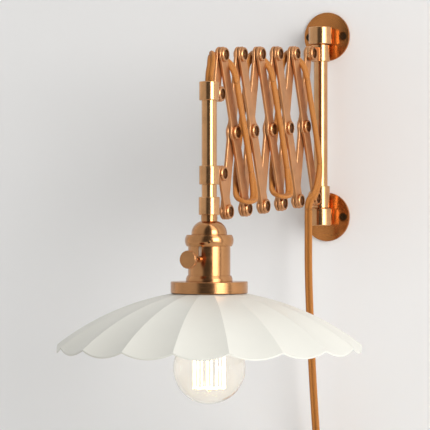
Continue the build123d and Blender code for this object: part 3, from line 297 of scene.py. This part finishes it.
def textile():
    """Braided cotton over a twin flex: crossing threads in a warm ochre, with painted shade in the gaps between
    them.
    """
    shader = Shader("cord_textile")
    heights = []
    for turn in (WEAVE_ANGLE, -WEAVE_ANGLE):
        mapping = shader.nodes.new("ShaderNodeMapping")
        mapping.inputs["Rotation"].default_value = (0, 0, math.radians(turn))
        shader.link(shader.place.outputs["UV"], mapping.inputs["Vector"])
        wave = shader.nodes.new("ShaderNodeTexWave")
        wave.inputs["Scale"].default_value = WEAVE_SCALE
        wave.inputs["Distortion"].default_value = 0.6
        wave.inputs["Detail Scale"].default_value = 2.0
        shader.link(mapping.outputs["Vector"], wave.inputs["Vector"])
        heights.append(wave.outputs["Fac"])
    weave = shader.nodes.new("ShaderNodeMath")
    weave.operation = "MAXIMUM"
    shader.link(heights[0], weave.inputs[0])
    shader.link(heights[1], weave.inputs[1])
    # from near-black in the low gaps between the threads, which is painted shade, up to the ochre of the threads'
    # tops
    tone = shader.ramp(
        weave.outputs["Value"],
        [(0.2, (0.16, 0.046, 0.005)), (0.65, (0.43, 0.14, 0.014)), (1.0, (0.62, 0.235, 0.032))],
    )
    shader.feed(Base_Color=tone)
    shader.feed(Normal=shader.bump(weave.outputs["Value"], 0.25 * MM, 0.8))
    shader.settings(Roughness=0.62, Sheen_Weight=0.08, Sheen_Roughness=0.5)
    return shader.material


def plug_plastic():
    """Dark brown moulded plastic with a fine grain."""
    shader = Shader("plug_plastic")
    grain = shader.noise(shader.stretched(), 900, 2)
    shader.feed(Base_Color=shader.two_tone(grain, (0.10, 0.055, 0.03), (0.14, 0.08, 0.045)))
    shader.feed(Roughness=shader.spread(grain, 0.32, 0.46))
    shader.feed(Normal=shader.bump(grain, 0.05 * MM, 0.5))
    return shader.material


SLOT_MATERIALS = {
    "polished_copper": "flange",
    "satin_copper_tube": "tube",
    "satin_copper_bar": "bar",
    "copper_rivet": "rivet",
    "screw_copper": "screw",
    "socket_copper": "socket",
    "porcelain": "porcelain",
    "contact_brass": "brass",
    "white_enamel": "enamel",
    "clear_glass": "glass",
    "glowing_filament": "filament",
    "cord_textile": "cord",
    "plug_plastic": "plug",
}


def dress_frame():
    """Gives every model node the finish of its material slot."""
    for row in frame["record"]["subparts"]:
        node = frame["nodes"][row["node"]]
        finish = MATERIALS[SLOT_MATERIALS[row["material_slot"]]]
        node.data.materials.clear()
        node.data.materials.append(finish)


RECESS_RADIUS = 5.3 * MM
RECESS_DEPTH = 1.3 * MM
RECESS_LIP = 0.05 * MM
HEAD_FACE_TOLERANCE = 0.02 * MM
LEAST_RIVET_SPACING = 20 * MM
SCREW_HEAD_RADIUS = 3.8 * MM
SCREW_HOLE_RADIUS = 4.6 * MM


def paint_shade_in_rivet_recesses():
    """The sunk middles of the rivet heads get a near-black copper: painted shade in the recesses."""
    for row in frame["record"]["subparts"]:
        if row["material_slot"] != "copper_rivet":
            continue
        node = frame["nodes"][row["node"]]
        mesh = node.data
        face_x = high_x(node)
        centres = []
        for group in face_groups(node, face_x):
            low = [min(place[axis] for place in group) for axis in range(3)]
            high = [max(place[axis] for place in group) for axis in range(3)]
            centres.append((Vector(low) + Vector(high)) / 2)
        mesh.materials.append(MATERIALS["recess_painted_shade"])
        for polygon in mesh.polygons:
            place = node.matrix_world @ polygon.center
            depth = face_x - place.x
            if not RECESS_LIP < depth < RECESS_DEPTH:
                continue
            across = [math.hypot(place.y - centre.y, place.z - centre.z) for centre in centres]
            if min(across) < RECESS_RADIUS:
                polygon.material_index = 1


def paint_shade_in_screw_holes():
    """The countersunk holes of the flanges, which frame the screws' heads, get the near-black copper of painted
    shade.
    """
    screw_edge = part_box("wall_screws")[1][0]
    for name in ("upper_flange", "lower_flange"):
        node = frame["nodes"][name]
        node.data.materials.append(MATERIALS["recess_painted_shade"])
        height = middle(name).z
        for polygon in node.data.polygons:
            place = node.matrix_world @ polygon.center
            out = abs(place.x) - (screw_edge - SCREW_HEAD_RADIUS)
            if math.hypot(out, place.z - height) < SCREW_HOLE_RADIUS:
                polygon.material_index = 1


def high_x(node):
    return max((node.matrix_world @ vertex.co).x for vertex in node.data.vertices)


def face_groups(node, face_x):
    """The vertices of each rivet's head face, one group for each rivet of the node."""
    groups = []
    for vertex in node.data.vertices:
        place = node.matrix_world @ vertex.co
        if face_x - place.x > HEAD_FACE_TOLERANCE:
            continue
        for group in groups:
            if (group[0] - place).length < LEAST_RIVET_SPACING:
                group.append(place)
                break
        else:
            groups.append([place])
    return groups


# ---- mesh tools ------------------------------------------------------------------------------
def new_piece(name, vertices, faces, finish):
    mesh = bpy.data.meshes.new(name)
    mesh.from_pydata(vertices, [], faces)
    mesh.update()
    mesh.shade_smooth()
    piece = bpy.data.objects.new(name, mesh)
    mesh.materials.append(MATERIALS[finish])
    bpy.context.scene.collection.objects.link(piece)
    return piece


# ---- cord ------------------------------------------------------------------------------------
CORD_WIDTH = 8.5 * MM
CORD_THICKNESS = 4.6 * MM
CORD_SIDES = 32
CORD_POWER = 2.6
GROOVE_DEPTH = 0.55
GROOVE_WIDTH = 0.8 * MM
# the route, in millimetres: x behind and before the bars, and the way out to a bar's wall side
CORD_BACK = -8.8
CORD_SIDE = 8.8
CORD_FRONT = 8.3
SPLINE_STEPS = 10
COIL_STEPS = 16
COIL_RADIUS = 56.0
COIL_PITCH = 8.9
COIL_TURNS_PER_LAYER = 2.25
COIL_TOP_Z = -392.0
COIL_REACH = 6.0
TAIL_LENGTH = 46.0
# where the rigid stretches start and end, in millimetres from the pivot that a run comes from
FRONT_RUN = (32, 126)
BACK_RUN = (36, 138)
BACK_RUN_SIDE = -5
ACROSS = Vector((1, 0, 0))


def near(place, toward_wall, up, x):
    """A point given in millimetres from a pivot."""
    return Vector((x * MM, place.y + toward_wall * MM, place.z + up * MM))


def beside(start, end, wall_sign, along, side, x):
    """A point beside a bar: along from its start pivot, side towards the wall, in millimetres."""
    way = (end - start).normalized()
    wallward = Vector((0, -way.z, way.y)) * wall_sign
    place = start + way * along * MM + wallward * side * MM
    return Vector((x * MM, place.y, place.z))


def front_route(top, bottom, beginning):
    """From behind a top pivot, round in front of the bar and down its wall side."""
    reach = (bottom - top).length / MM

    def at(share, side, x):
        return beside(top, bottom, 1, share * reach, side, x)

    return beginning + [
        near(top, 14.5, -3, -3.5),
        near(top, 13.5, -12, 6.5),
        at(0.17, CORD_SIDE, CORD_FRONT),
        at(0.33, CORD_SIDE - 0.2, CORD_FRONT + 0.2),
        at(0.5, CORD_SIDE + 0.5, CORD_FRONT + 0.6),
        at(0.66, CORD_SIDE + 1.8, CORD_FRONT + 0.3),
        at(0.8, CORD_SIDE + 2.4, CORD_FRONT),
    ]


def front_turn(bottom):
    """Across the bar above a bottom pivot and round its lamp side to behind it."""
    return [
        near(bottom, 7, 10.5, 8.4),
        near(bottom, -5, 6.5, 9.4),
        near(bottom, -16.5, 7, 6.5),
        near(bottom, -15, 11, -2),
        near(bottom, -10.5, 21, -4.6),
    ]


def back_route(bottom, top):
    """From behind a bottom pivot, up behind the bar, to behind its top pivot."""
    reach = (bottom - top).length / MM

    def at(share, side, x):
        return beside(bottom, top, -1, share * reach, side, x)

    return [
        near(bottom, -2.5, 35, CORD_BACK),
        at(0.5, -7.5, CORD_BACK - 0.2),
        at(0.67, -4.8, CORD_BACK),
        at(0.83, -4.5, CORD_BACK - 0.2),
        near(top, -10.5, -11.4, CORD_BACK),
    ]


def held_route():
    """The cord from inside the lamp's tube along the whole arm to where it drops free."""
    route = [
        Vector((0, LAMP_Y, low_z("cord_lead"))),
        Vector((0.6 * MM, LAMP_Y - 0.5 * MM, TUBE_TOP_Z - 70 * MM)),
        Vector((-0.5 * MM, LAMP_Y + 0.5 * MM, TUBE_TOP_Z - 35 * MM)),
        Vector((0, LAMP_Y, TUBE_TOP_Z - 8 * MM)),
        Vector((0, LAMP_Y + 0.3 * MM, TUBE_TOP_Z + 8 * MM)),
        near(TOP_1, -23.5, -12, 0.5),
        near(TOP_1, -20.5, -3, -0.5),
        near(TOP_1, -12.5, 0, -5),
        near(TOP_1, -6, -0.8, CORD_BACK),
    ]
    route += front_route(TOP_1, BOTTOM_2, [near(TOP_1, 7, -1.2, CORD_BACK)]) + front_turn(BOTTOM_2)
    route += back_route(BOTTOM_2, TOP_3)
    route += front_route(TOP_3, BOTTOM_4, [near(TOP_3, 7.5, 3, CORD_BACK)]) + front_turn(BOTTOM_4)
    route += back_route(BOTTOM_4, TOP_5)
    route += front_route(TOP_5, BOTTOM_6, [near(TOP_5, 7.5, 3, CORD_BACK)])
    route += [near(BOTTOM_6, -10.5, 4.5, 7.5), near(BOTTOM_6, -13.9, -2.5, 0), drop_top()]
    return route


def drop_top():
    return near(BOTTOM_6, -13.9, -11.7, 0)


def free_route():
    """The free cord: the drop beside the wall, five turns of coil in two layers, and the tail."""
    top = drop_top()
    reaches = [(-0.8, 31, -155), (-1, 26.5, -205), (-1.4, 20.5, -255), (-1, 14.5, -305), (-0.4, 9, -345)]
    route = [top, Vector((0, top.y, -114 * MM))]
    for x, reach, z in reaches:
        route.append(Vector((x * MM, POST_Y - reach * MM, z * MM)))
    route.append(Vector((0, POST_Y - COIL_REACH * MM, -372 * MM)))
    centre_y = POST_Y - (COIL_REACH + COIL_RADIUS) * MM
    wound = COIL_PITCH * COIL_TURNS_PER_LAYER
    steps = round(COIL_STEPS * (2 * COIL_TURNS_PER_LAYER + 0.5))
    outward = 1 / math.cos(math.pi / COIL_STEPS)
    for step in range(1, steps):
        turns = step / COIL_STEPS
        climb = min(max((turns - COIL_TURNS_PER_LAYER) / 0.5, 0.0), 1.0)
        back = max(turns - COIL_TURNS_PER_LAYER - 0.5, 0.0)
        radius = COIL_RADIUS - min(COIL_PITCH * turns, wound) + COIL_PITCH * back
        angle = -2 * math.pi * turns
        route.append(
            Vector(
                (
                    -COIL_PITCH * climb * climb * (3 - 2 * climb) * MM,
                    centre_y + radius * outward * math.cos(angle) * MM,
                    COIL_TOP_Z * MM + radius * outward * math.sin(angle) * MM,
                )
            )
        )
    tail_x = -COIL_PITCH * MM
    tail_y = POST_Y - COIL_REACH * MM
    route.append(Vector((tail_x, tail_y, (COIL_TOP_Z - 12) * MM)))
    route.append(Vector((tail_x, tail_y, (COIL_TOP_Z - TAIL_LENGTH) * MM)))
    return route


def smooth_line(route):
    """Points read along a route's own smooth spline."""
    curve = bpy.data.curves.new("route", "CURVE")
    curve.dimensions = "3D"
    curve.resolution_u = SPLINE_STEPS
    spline = curve.splines.new("NURBS")
    spline.points.add(len(route) - 1)
    for point, place in zip(spline.points, route):
        point.co = (*place, 1.0)
    spline.order_u = 3
    spline.use_endpoint_u = True
    holder = bpy.data.objects.new("route", curve)
    bpy.context.scene.collection.objects.link(holder)
    mesh = bpy.data.meshes.new_from_object(holder)
    line = [vertex.co.copy() for vertex in mesh.vertices]
    bpy.data.objects.remove(holder)
    bpy.data.curves.remove(curve)
    bpy.data.meshes.remove(mesh)
    return line


def tangents(line):
    ways = []
    for index in range(len(line)):
        before = line[max(index - 1, 0)]
        after = line[min(index + 1, len(line) - 1)]
        ways.append((after - before).normalized())
    return ways


def lengths_along(line):
    total = [0.0]
    for before, after in zip(line, line[1:]):
        total.append(total[-1] + (after - before).length)
    return total


def cord_section():
    """The flat cord's outline, as offsets across its width and its thickness, with its groove."""
    points = []
    for side in range(CORD_SIDES):
        angle = 2 * math.pi * side / CORD_SIDES
        cosine = math.cos(angle)
        sine = math.sin(angle)
        wide = CORD_WIDTH / 2 * math.copysign(abs(cosine) ** (2 / CORD_POWER), cosine)
        thick = CORD_THICKNESS / 2 * math.copysign(abs(sine) ** (2 / CORD_POWER), sine)
        groove = 1 - GROOVE_DEPTH * math.exp(-((wide / GROOVE_WIDTH) ** 2))
        points.append((wide, thick * groove))
    return points


def cord_piece(name, line, sides, start_length):
    """A flat cord along a line. sides gives the direction of its width at each point."""
    ways = tangents(line)
    section = cord_section()
    count = len(section)
    vertices = []
    for place, way, side in zip(line, ways, sides):
        wide_way = (side - way * side.dot(way)).normalized()
        thick_way = way.cross(wide_way)
        for wide, thick in section:
            vertices.append(place + wide_way * wide + thick_way * thick)
    faces = []
    for ring in range(len(line) - 1):
        for side in range(count):
            after = (side + 1) % count
            faces.append(
                (
                    ring * count + side,
                    ring * count + after,
                    (ring + 1) * count + after,
                    (ring + 1) * count + side,
                )
            )
    last = (len(line) - 1) * count
    faces.append(tuple(range(count - 1, -1, -1)))
    faces.append(tuple(range(last, last + count)))
    piece = new_piece(name, vertices, faces, "cord")
    for cap in piece.data.polygons[-2:]:
        cap.use_smooth = False
    around = [0.0]
    for before, after in zip(section, section[1:] + section[:1]):
        around.append(around[-1] + math.dist(before, after))
    along = [start_length + value for value in lengths_along(line)]
    layer = piece.data.uv_layers.new(name="cord_map")
    for polygon in piece.data.polygons:
        for corner in polygon.loop_indices:
            vertex = piece.data.loops[corner].vertex_index
            ring, side = divmod(vertex, count)
            if side == 0 and polygon.index % count == count - 1 and polygon.index < len(faces) - 2:
                side = count
            layer.data[corner].uv = (along[ring], around[side])
    return piece


def carried_sides(line, targets):
    """Width directions that turn as little as possible, and meet the targets at their points.

    targets is a list of (index, direction); a flat cord looks the same turned half way round.
    """
    ways = tangents(line)
    sides = [targets[0][1]]
    for before, after in zip(ways, ways[1:]):
        side = sides[-1].copy()
        side.rotate(before.rotation_difference(after))
        sides.append(side)
    offsets = []
    for index, wanted in targets:
        way = ways[index]
        side = (sides[index] - way * sides[index].dot(way)).normalized()
        wanted = (wanted - way * wanted.dot(way)).normalized()
        angle = math.atan2(way.dot(side.cross(wanted)), side.dot(wanted))
        previous = offsets[-1][1] if offsets else 0.0
        half_turns = round((angle - previous) / math.pi)
        offsets.append((index, angle - half_turns * math.pi))
    for (low, low_angle), (high, high_angle) in zip(offsets, offsets[1:]):
        for index in range(low, high + 1 if high == len(line) - 1 else high):
            share = (index - low) / (high - low)
            angle = low_angle + (high_angle - low_angle) * share
            sides[index] = Matrix.Rotation(angle, 3, ways[index]) @ sides[index]
    return sides


def nearest(line, place):
    return min(range(len(line)), key=lambda index: (line[index] - place).length_squared)


def cord_cuts():
    """Where the held cord passes from one body to the next, in order from the lamp."""
    cuts = [Vector((0, LAMP_Y, TUBE_TOP_Z - 4 * MM)), near(TOP_1, -5, -0.8, CORD_BACK)]
    pivots = (TOP_1, BOTTOM_2, TOP_3, BOTTOM_4, TOP_5, BOTTOM_6)
    for number, (start, end) in enumerate(zip(pivots, pivots[1:])):
        runs_in_front = number % 2 == 0
        if runs_in_front:
            cuts += [beside(start, end, 1, along, CORD_SIDE, CORD_FRONT) for along in FRONT_RUN]
        else:
            cuts += [beside(start, end, -1, along, BACK_RUN_SIDE, CORD_BACK) for along in BACK_RUN]
    return cuts


def width_targets(line, marks):
    """Where the cord's width has to point: it lies flat beside a bar and crosses one on its edge."""
    ways = tangents(line)
    targets = [(0, ACROSS), (nearest(line, near(TOP_1, -22, -7, 0)), ACROSS)]
    crossings = {4: BOTTOM_2, 8: BOTTOM_4}
    for number in range(2, len(marks) - 1):
        targets.append((marks[number], ways[marks[number]].cross(ACROSS)))
        if number in crossings:
            targets.append((nearest(line, near(crossings[number], -4, 9, 8.8)), ACROSS))
            targets.append((nearest(line, near(crossings[number], -15, 9, 1)), Vector((0, 1, 0))))
    targets.append((len(line) - 1, ACROSS))
    return targets


def make_held_cord():
    """The cord along the arm: rigid along each bar, with the turns at the pivots left in place, attached to no
    body.
    """
    line = smooth_line(held_route())
    marks = [0] + [nearest(line, place) for place in cord_cuts()] + [len(line) - 1]
    sides = carried_sides(line, width_targets(line, marks))
    along = lengths_along(line)

    def stretch(name, first, last):
        return cord_piece(name, line[first : last + 1], sides[first : last + 1], along[first])

    def rigid(name, number, body, node):
        piece = stretch(name, marks[number], marks[number + 1])
        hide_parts(node)
        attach(piece, body)

    def turning(name, number):
        piece = stretch(name, marks[number], marks[number + 1])
        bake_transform(piece)

    rigid("cord_in_tube", 0, "lamp", "cord_lead")
    over = stretch("cord_over_tube", marks[1], marks[2])
    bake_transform(over)
    turning("cord_turn_top_1", 2)
    rigid("cord_run_front_1", 3, "front_bar_1", "cord_front_1")
    turning("cord_turn_bottom_2", 4)
    rigid("cord_run_back_2", 5, "back_bar_2", "cord_back_2")
    turning("cord_turn_top_3", 6)
    rigid("cord_run_front_3", 7, "front_bar_3", "cord_front_3")
    turning("cord_turn_bottom_4", 8)
    rigid("cord_run_back_4", 9, "back_bar_4", "cord_back_4")
    turning("cord_turn_top_5", 10)
    rigid("cord_run_front_5", 11, "front_bar_5", "cord_front_5")
    turning("cord_turn_bottom_6", 12)


def make_free_cord():
    line = smooth_line(free_route())
    sides = [ACROSS] * len(line)
    piece = cord_piece("cord_free", line, sides, 0.0)
    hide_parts("cord_drop", "cord_coil")
    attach(piece, "wall_slider")
    print("free cord length", round(lengths_along(line)[-1], 3))


# ---- light and stage -------------------------------------------------------------------------
WALL_COLOUR = (0.915, 0.925, 0.94)
WALL_CENTRE = Vector((0, 0.4 * MM, 0.2))
WALL_WIDTH = 6.0
WALL_HEIGHT = 4.0
FLOOR_COLOUR = (0.78, 0.77, 0.75)
FLOOR_CENTRE = Vector((0, -2.0, -1.3))
FLOOR_WIDTH = 8.0
FLOOR_DEPTH = 5.0


def make_stage():
    """A pale wall just behind the flanges and a pale floor well below the lamp."""
    wall = plane_piece("wall_backdrop", WALL_CENTRE, (WALL_WIDTH, 0, 0), (0, 0, WALL_HEIGHT))
    floor = plane_piece("floor", FLOOR_CENTRE, (FLOOR_WIDTH, 0, 0), (0, FLOOR_DEPTH, 0))
    for piece, colour in ((wall, WALL_COLOUR), (floor, FLOOR_COLOUR)):
        shader = Shader(piece.name)
        cloud = shader.noise(shader.stretched(), 3, 4)
        shader.feed(Base_Color=shader.two_tone(cloud, tint(colour, 0.985), colour))
        shader.settings(Roughness=0.9, Specular_IOR_Level=0.1)
        if piece is wall:
            hide_from_behind(shader)
        piece.data.materials.append(shader.material)


def hide_from_behind(shader):
    """The wall shows only from its room side, so that the lamp's back can be seen."""
    geometry = shader.nodes.new("ShaderNodeNewGeometry")
    clear = shader.nodes.new("ShaderNodeBsdfTransparent")
    mix = shader.nodes.new("ShaderNodeMixShader")
    shader.link(geometry.outputs["Backfacing"], mix.inputs["Fac"])
    shader.link(shader.surface.outputs["BSDF"], mix.inputs[1])
    shader.link(clear.outputs["BSDF"], mix.inputs[2])
    shader.link(mix.outputs["Shader"], shader.nodes["Material Output"].inputs["Surface"])


def plane_piece(name, centre, whole_side, whole_up):
    side = Vector(whole_side) / 2
    up = Vector(whole_up) / 2
    mesh = bpy.data.meshes.new(name)
    corners = [centre - side - up, centre + side - up, centre + side + up, centre - side + up]
    mesh.from_pydata(corners, [], [(0, 1, 2, 3)])
    piece = bpy.data.objects.new(name, mesh)
    bpy.context.scene.collection.objects.link(piece)
    return piece


# the room's brightness by bearing as seen from the lamp, in degrees: 0 is towards the camera, and
# positive is to the picture's right
ROOM_LEVELS = [
    (-180, 0.9),
    (-115, 0.85),
    (-85, 0.66),
    (-40, 0.62),
    (-28, 0.08),
    (16, 0.08),
    (23, 2.6),
    (52, 2.6),
    (60, 0.4),
    (85, 0.8),
    (180, 0.9),
]
ROOM_TINT = (1.0, 0.985, 0.96)


def bearing_share(nodes, links):
    """Where a direction in the room lies, from 0 to 1 round the lamp, with 0.5 towards the camera."""
    place = nodes.new("ShaderNodeTexCoord")
    turned = nodes.new("ShaderNodeMapping")
    turned.inputs["Rotation"].default_value = (0, 0, -CAMERA_AZIMUTH)
    links.new(place.outputs["Generated"], turned.inputs["Vector"])
    split = nodes.new("ShaderNodeSeparateXYZ")
    links.new(turned.outputs["Vector"], split.inputs["Vector"])
    towards = nodes.new("ShaderNodeMath")
    towards.operation = "MULTIPLY"
    towards.inputs[1].default_value = -1.0
    links.new(split.outputs["Y"], towards.inputs[0])
    angle = nodes.new("ShaderNodeMath")
    angle.operation = "ARCTAN2"
    links.new(split.outputs["X"], angle.inputs[0])
    links.new(towards.outputs["Value"], angle.inputs[1])
    share = nodes.new("ShaderNodeMapRange")
    share.inputs["From Min"].default_value = -math.pi
    share.inputs["From Max"].default_value = math.pi
    links.new(angle.outputs["Value"], share.inputs["Value"])
    return share.outputs["Result"]


def make_world():
    """A pale room: dark behind the camera, a bright window to its right, light walls elsewhere."""
    world = bpy.data.worlds.new("room")
    world.use_nodes = True
    nodes = world.node_tree.nodes
    links = world.node_tree.links
    bearing = bearing_share(nodes, links)
    ramp = nodes.new("ShaderNodeValToRGB")
    while len(ramp.color_ramp.elements) < len(ROOM_LEVELS):
        ramp.color_ramp.elements.new(0.5)
    for element, (degrees, level) in zip(ramp.color_ramp.elements, ROOM_LEVELS):
        element.position = (degrees + 180) / 360
        element.color = (*(level * channel for channel in ROOM_TINT), 1.0)
    links.new(bearing, ramp.inputs["Fac"])
    background = nodes["Background"]
    links.new(ramp.outputs["Color"], background.inputs["Color"])
    background.inputs["Strength"].default_value = 1.0
    bpy.context.scene.world = world


WINDOW_PLACE = Vector((2.2, -1.6, 0.5))
WINDOW_AIM = Vector((0, -0.2, -0.1))
WINDOW_WIDTH = 1.2
WINDOW_HEIGHT = 1.4
WINDOW_POWER = 31
WINDOW_COLOUR = (1.0, 0.98, 0.95)


def make_window_light():
    data = bpy.data.lights.new("window_light", "AREA")
    data.shape = "RECTANGLE"
    data.size = WINDOW_WIDTH
    data.size_y = WINDOW_HEIGHT
    data.energy = WINDOW_POWER
    data.color = WINDOW_COLOUR
    light = bpy.data.objects.new("window_light", data)
    light.location = WINDOW_PLACE
    light.rotation_euler = (WINDOW_AIM - WINDOW_PLACE).to_track_quat("-Z", "Y").to_euler()
    bpy.context.scene.collection.objects.link(light)


make_camera()
MATERIALS = make_materials()
dress_frame()
paint_shade_in_rivet_recesses()
paint_shade_in_screw_holes()
make_held_cord()
make_free_cord()
make_stage()
make_world()
make_window_light()
bpy.context.scene.view_settings.view_transform = "Standard"
